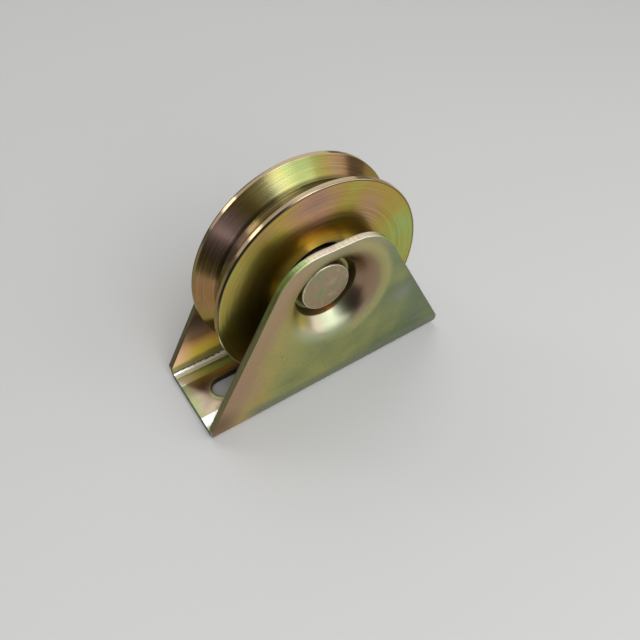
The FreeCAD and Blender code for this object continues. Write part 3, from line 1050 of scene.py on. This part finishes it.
def away_from_part(azimuth, elevation):
    """Unit vector at that angle from the front and that height, in radians."""
    flat = math.cos(elevation)
    return Vector((math.sin(azimuth) * flat, -math.cos(azimuth) * flat, math.sin(elevation)))


def facing_axle(azimuth, elevation, distance):
    """Place at that many degrees and metres from the axle, turned to it."""
    away = away_from_part(math.radians(azimuth), math.radians(elevation))
    place = away.to_track_quat("Z", "Y").to_matrix().to_4x4()
    place.translation = away * distance + Vector((0, 0, AXLE_HEIGHT * METRES))
    return place


def width_across(degrees, distance):
    """Width that fills so many degrees at that distance."""
    return 2 * distance * math.tan(math.radians(degrees / 2))


def soft_lamp(name, azimuth, elevation, wide, high, distance, light):
    """Oval lamp that looks as bright as its light from the axle."""
    data = bpy.data.lights.new(name, "AREA")
    data.shape = "ELLIPSE"
    data.size = width_across(wide, distance)
    data.size_y = width_across(high, distance)
    data.color = [channel / max(light) for channel in light]
    area = math.pi * data.size * data.size_y / 4
    data.energy = max(light) * math.pi * area
    lamp = new_object(name, data)
    lamp.matrix_world = facing_axle(azimuth, elevation, distance)
    lamp.visible_camera = False
    return lamp


def plain_disc(name, radius, colour):
    """Flat round piece of the stage."""
    build = bmesh.new()
    bmesh.ops.create_circle(build, cap_ends=True, radius=radius, segments=DISC_SEGMENTS)
    mesh = bpy.data.meshes.new(name)
    build.to_mesh(mesh)
    build.free()
    material = bpy.data.materials.new(name)
    material.use_nodes = True
    shader = material.node_tree.nodes["Principled BSDF"]
    shader.inputs["Base Color"].default_value = (*colour, 1)
    shader.inputs["Roughness"].default_value = DISC_ROUGHNESS
    mesh.materials.append(material)
    disc = new_object(name, mesh)
    return disc


def add_camera():
    back = away_from_part(CAMERA_AZIMUTH, CAMERA_ELEVATION)
    right = (-back).cross(Vector((0, 0, 1))).normalized()
    up = right.cross(-back)
    rolled_right = right * math.cos(CAMERA_ROLL) + up * math.sin(CAMERA_ROLL)
    rolled_up = up * math.cos(CAMERA_ROLL) - right * math.sin(CAMERA_ROLL)
    data = bpy.data.cameras.new("camera")
    data.sensor_width = SENSOR_WIDTH
    data.lens = SENSOR_WIDTH * FOCAL_PIXELS / IMAGE_PIXELS
    data.clip_start = NEAR_CLIP
    camera = new_object("camera", data)
    place = Matrix((rolled_right, rolled_up, back)).transposed().to_4x4()
    place.translation = Vector(CAMERA_TARGET) + back * CAMERA_DISTANCE
    camera.matrix_world = place
    bpy.context.scene.camera = camera


# Bracket, wheel and axle
patches = bracket_patches()
bracket_skins = [
    (patches["outside"], outside_finish()),
    (patches["inside"], inside_finish()),
    (patches["sheared"], sheared_finish()),
]
make_piece("folded_bracket", bracket_skins, "bracket", ["bracket"])
wheel_skins = [([lathe(wheel_profile(), closed=True)], wheel_finish())]
make_piece("grooved_wheel", wheel_skins, "wheel", ["wheel"])
axle_skins = [([lathe(axle_profile())], axle_finish())]
make_piece("riveted_axle", axle_skins, "bracket", ["axle_rivet"])

# Bearing
steel = ground_steel()
for name, body, seat, shoulder, side in (
    ("bearing_inner_ring", "bracket", BEARING_BORE, INNER_SHOULDER, -1),
    ("bearing_outer_ring", "wheel", BEARING, OUTER_SHOULDER, 1),
):
    ring = lathe(bearing_ring_profile(seat, shoulder, side), closed=True)
    make_piece(name.replace("bearing", "ground"), [([ring], steel)], body, [name])
rubber = seal_rubber()
for name, side in (("bearing_seal_front", -1), ("bearing_seal_rear", 1)):
    skins = [([lathe(seal_profile(side), closed=True)], rubber)]
    make_piece(name.replace("bearing", "moulded"), skins, "wheel", [name])
balls = [ball_patch(number) for number in range(BALL_COUNT)]
ball_nodes = [f"bearing_ball_{number + 1}" for number in range(BALL_COUNT)]
make_piece("lapped_balls", [(balls, ball_steel())], "ball_cage", ball_nodes)

# Solids that show as they are
for name, material in (("retaining_ring", spring_steel()), ("ball_cage", cage_nylon())):
    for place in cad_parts[name].material_slots:
        place.material = material

# Floor, room and lamps; the fill lights matt surfaces only, and only the metal mirrors the cards
floor = plain_disc("floor", FLOOR_RADIUS, FLOOR_GREY)
floor.location.z = -FLOOR_DROP
world = bpy.data.worlds.new("room")
bpy.context.scene.world = world
world.use_nodes = True
world.node_tree.nodes["Background"].inputs["Color"].default_value = (*ROOM_GREY, 1)
for softbox in SOFTBOXES:
    soft_lamp(*softbox)
soft_lamp(*FILL).visible_glossy = False
for name, azimuth, elevation, wide, distance, colour in CARDS:
    card = plain_disc(name, width_across(wide, distance) / 2, colour)
    card.matrix_world = facing_axle(azimuth, elevation, distance)
    card.visible_camera = False
    card.visible_diffuse = False
    card.visible_shadow = False

add_camera()
bpy.context.scene.view_settings.view_transform = "Standard"
